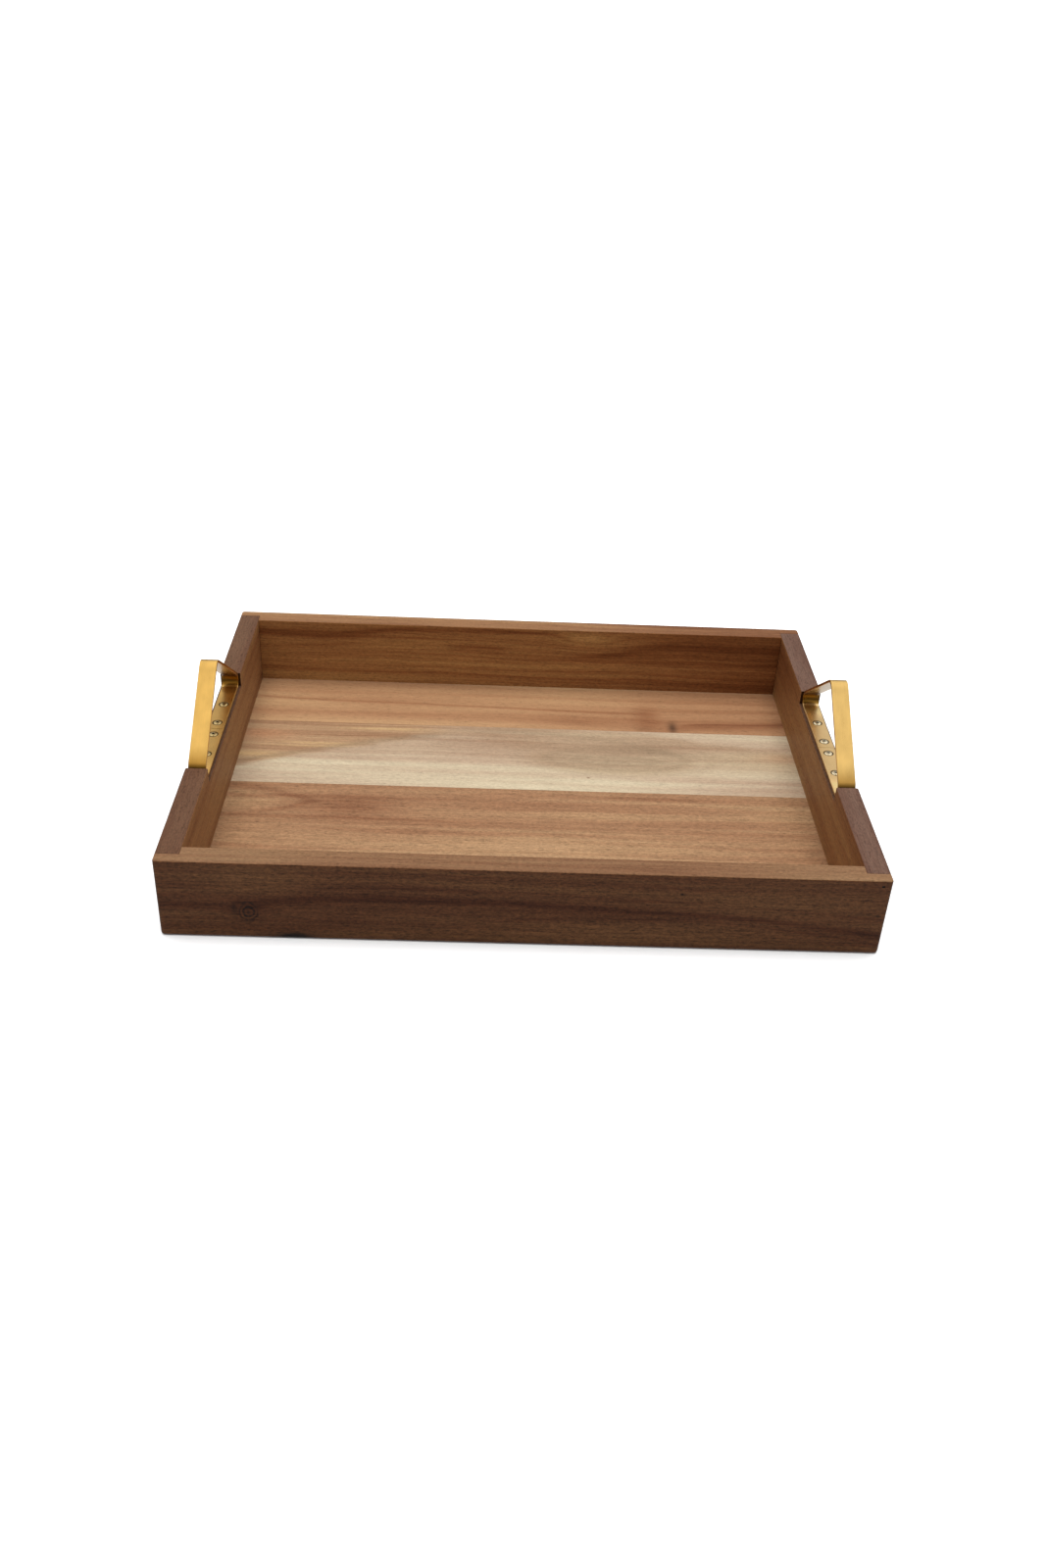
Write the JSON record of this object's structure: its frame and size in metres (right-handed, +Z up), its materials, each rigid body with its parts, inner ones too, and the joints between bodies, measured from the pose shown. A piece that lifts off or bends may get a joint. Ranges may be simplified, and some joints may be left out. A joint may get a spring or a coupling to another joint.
{
  "type": "serving tray",
  "caption": "Rectangular wooden tray with rabbeted sides and a plank floor, carried by a fixed triangular brass strap handle screwed into a notch at each end.",
  "frame": {"origin": "middle of the tray's length and width, on the surface that it stands on", "axes": "+X along the tray towards the right handle, +Y towards the back board, +Z up"},
  "size_m": [0.4064, 0.3048, 0.093],
  "materials": {
    "frame_wood": "satin",
    "end_wood": "satin",
    "floor_heartwood": "satin",
    "floor_sapwood": "satin",
    "strap_brass": "brushed satin",
    "screw_brass": "satin",
    "brad_steel": "dull"
  },
  "bodies": {
    "root": {"front_board": "frame_wood", "back_board": "frame_wood", "left_end_board": "end_wood", "right_end_board": "end_wood", "floor_plank_back": "floor_heartwood", "floor_plank_middle_back": "floor_sapwood", "floor_plank_middle_front": "floor_heartwood", "floor_plank_front": "floor_heartwood", "left_handle_strap": "strap_brass", "right_handle_strap": "strap_brass", "left_handle_screw_1": "screw_brass", "left_handle_screw_2": "screw_brass", "left_handle_screw_3": "screw_brass", "left_handle_screw_4": "screw_brass", "right_handle_screw_1": "screw_brass", "right_handle_screw_2": "screw_brass", "right_handle_screw_3": "screw_brass", "right_handle_screw_4": "screw_brass", "front_left_brads": "brad_steel", "front_right_brads": "brad_steel", "back_left_brads": "brad_steel", "back_right_brads": "brad_steel"}
  },
  "joints": []
}
